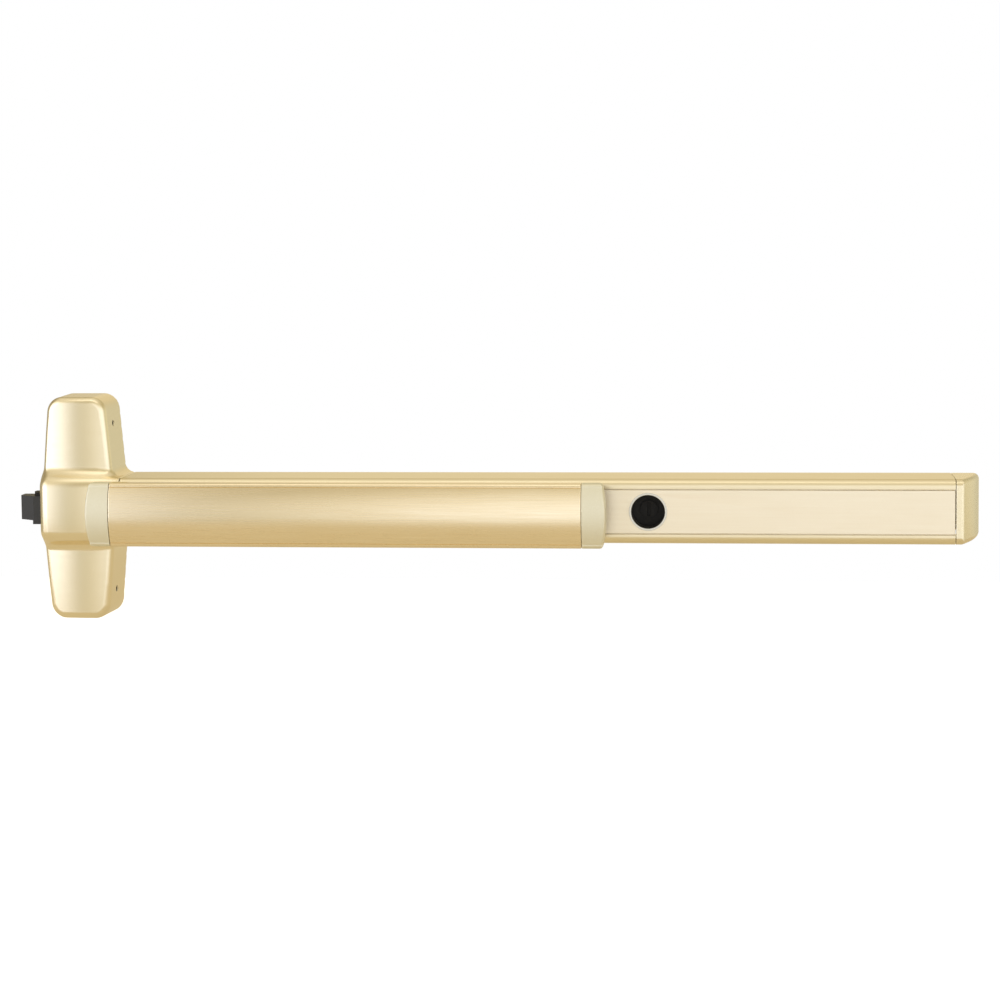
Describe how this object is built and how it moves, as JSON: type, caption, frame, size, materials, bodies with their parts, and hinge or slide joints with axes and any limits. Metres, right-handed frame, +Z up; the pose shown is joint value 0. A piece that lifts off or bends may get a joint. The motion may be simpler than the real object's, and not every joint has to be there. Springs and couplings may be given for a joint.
{
  "type": "rim exit device",
  "caption": "Rim exit device for the face of a door: pressing the long bar draws back a bevelled spring latch, and a hook behind a cylinder hole can hold the bar in.",
  "frame": {"origin": "on the door's face, on the device's long centre line, at the middle of the centre case", "axes": "+X along the device away from the latch, +Y into the door, -Y out of the door towards the user, +Z up"},
  "size_m": [0.8643, 0.0968, 0.2032],
  "materials": {
    "cast_brass": "satin brass, brushed",
    "case_brass": "satin brass, brushed along its length",
    "inlay_brass": "satin brass, fine grain",
    "bar_brass": "satin brass, brushed along its length",
    "cap_brass": "satin brass, fine cast grain",
    "latch_steel": "dark sintered steel",
    "deadlatch_steel": "black oxide",
    "plated_steel": "zinc plated",
    "rod_steel": "cold drawn",
    "spring_steel": "oiled spring wire",
    "screw_steel": "plated",
    "rail_aluminium": "mill finish",
    "damper_body": "dark anodised",
    "ring_chrome": "bright turned ring"
  },
  "bodies": {
    "case": {"center_case_cover": "cast_brass", "cover_screws": "screw_steel", "center_case_base": "plated_steel", "latch_housing": "plated_steel", "latch_housing_plate": "plated_steel", "latch_housing_screws": "screw_steel", "latch_spring": "spring_steel", "return_spring": "spring_steel", "spring_bracket": "plated_steel", "damper_cylinder": "damper_body", "damper_clamp": "plated_steel", "dogging_housing": "deadlatch_steel", "cylinder_collar": "ring_chrome", "mechanism_case": "case_brass", "base_rail": "plated_steel", "base_rail_screws": "screw_steel", "foot_screws": "screw_steel", "cover_plate": "inlay_brass", "end_cap": "cap_brass", "end_cap_screw": "screw_steel", "end_bracket": "plated_steel", "rod_guide_left": "plated_steel", "rod_guide_middle": "plated_steel", "rod_guide_right": "plated_steel", "crank_pivot_pin_left": "rod_steel", "crank_bracket_left": "plated_steel", "crank_pivot_pin_right": "rod_steel", "crank_bracket_right": "plated_steel"},
    "push_bar": {"push_bar": "bar_brass", "push_bar_rail": "rail_aluminium", "push_bar_cap_left": "cap_brass", "push_bar_cap_right": "cap_brass", "bar_bracket_left": "plated_steel", "bar_bracket_right": "plated_steel", "bar_bracket_screws": "screw_steel"},
    "crank_left": {"bell_crank_left": "plated_steel", "crank_bar_pin_left": "rod_steel", "crank_rod_pin_left": "rod_steel"},
    "crank_right": {"bell_crank_right": "plated_steel", "crank_bar_pin_right": "rod_steel", "crank_rod_pin_right": "rod_steel"},
    "rod": {"actuating_rod": "rod_steel", "spring_collar": "rod_steel", "damper_arm": "plated_steel", "damper_plunger": "rod_steel", "dogging_stud": "rod_steel", "latch_retractor": "plated_steel", "retractor_rivets": "screw_steel"},
    "latch": {"latch_bolt": "latch_steel", "latch_cross_pin": "rod_steel", "deadlatch_pin": "rod_steel", "deadlatch_spring": "spring_steel"},
    "deadlatch": {"deadlatch": "deadlatch_steel"},
    "dogging_hub": {"dogging_hub": "deadlatch_steel"}
  },
  "joints": [
    {"name": "push_bar_press", "type": "slide", "parent": "case", "child": "push_bar", "axis": [0, 1, 0], "range_m": [0, 0.01905], "stiffness_N_per_m": 1500, "springref_m": -0.015},
    {"name": "crank_left_turn", "type": "hinge", "parent": "case", "child": "crank_left", "pos_m": [0.13, -0.04016, 0], "axis": [0, 0, 1], "range_deg": [-39.9, 0]},
    {"name": "crank_right_turn", "type": "hinge", "parent": "case", "child": "crank_right", "pos_m": [0.4, -0.04016, 0], "axis": [0, 0, 1], "range_deg": [-39.9, 0]},
    {"name": "rod_slide", "type": "slide", "parent": "case", "child": "rod", "axis": [1, 0, 0], "range_m": [0, 0.01905], "deforming": ["return_spring"]},
    {"name": "latch_slide", "type": "slide", "parent": "case", "child": "latch", "axis": [1, 0, 0], "range_m": [0, 0.01905], "deforming": ["latch_spring"]},
    {"name": "deadlatch_slide", "type": "slide", "parent": "latch", "child": "deadlatch", "axis": [1, 0, 0], "range_m": [0, 0.008], "stiffness_N_per_m": 200, "springref_m": -0.003, "deforming": ["deadlatch_spring"]},
    {"name": "dogging_turn", "type": "hinge", "parent": "case", "child": "dogging_hub", "pos_m": [0.5179, 0, 0], "axis": [0, 1, 0], "range_deg": [0, 90]}
  ],
  "couplings": [
    {"joint": "crank_left_turn", "follows": "push_bar_press", "rad_per_m": -36.442},
    {"joint": "crank_right_turn", "follows": "push_bar_press", "rad_per_m": -36.442},
    {"joint": "rod_slide", "follows": "push_bar_press", "ratio": 1},
    {"joint": "latch_slide", "follows": "push_bar_press", "ratio": 1}
  ]
}
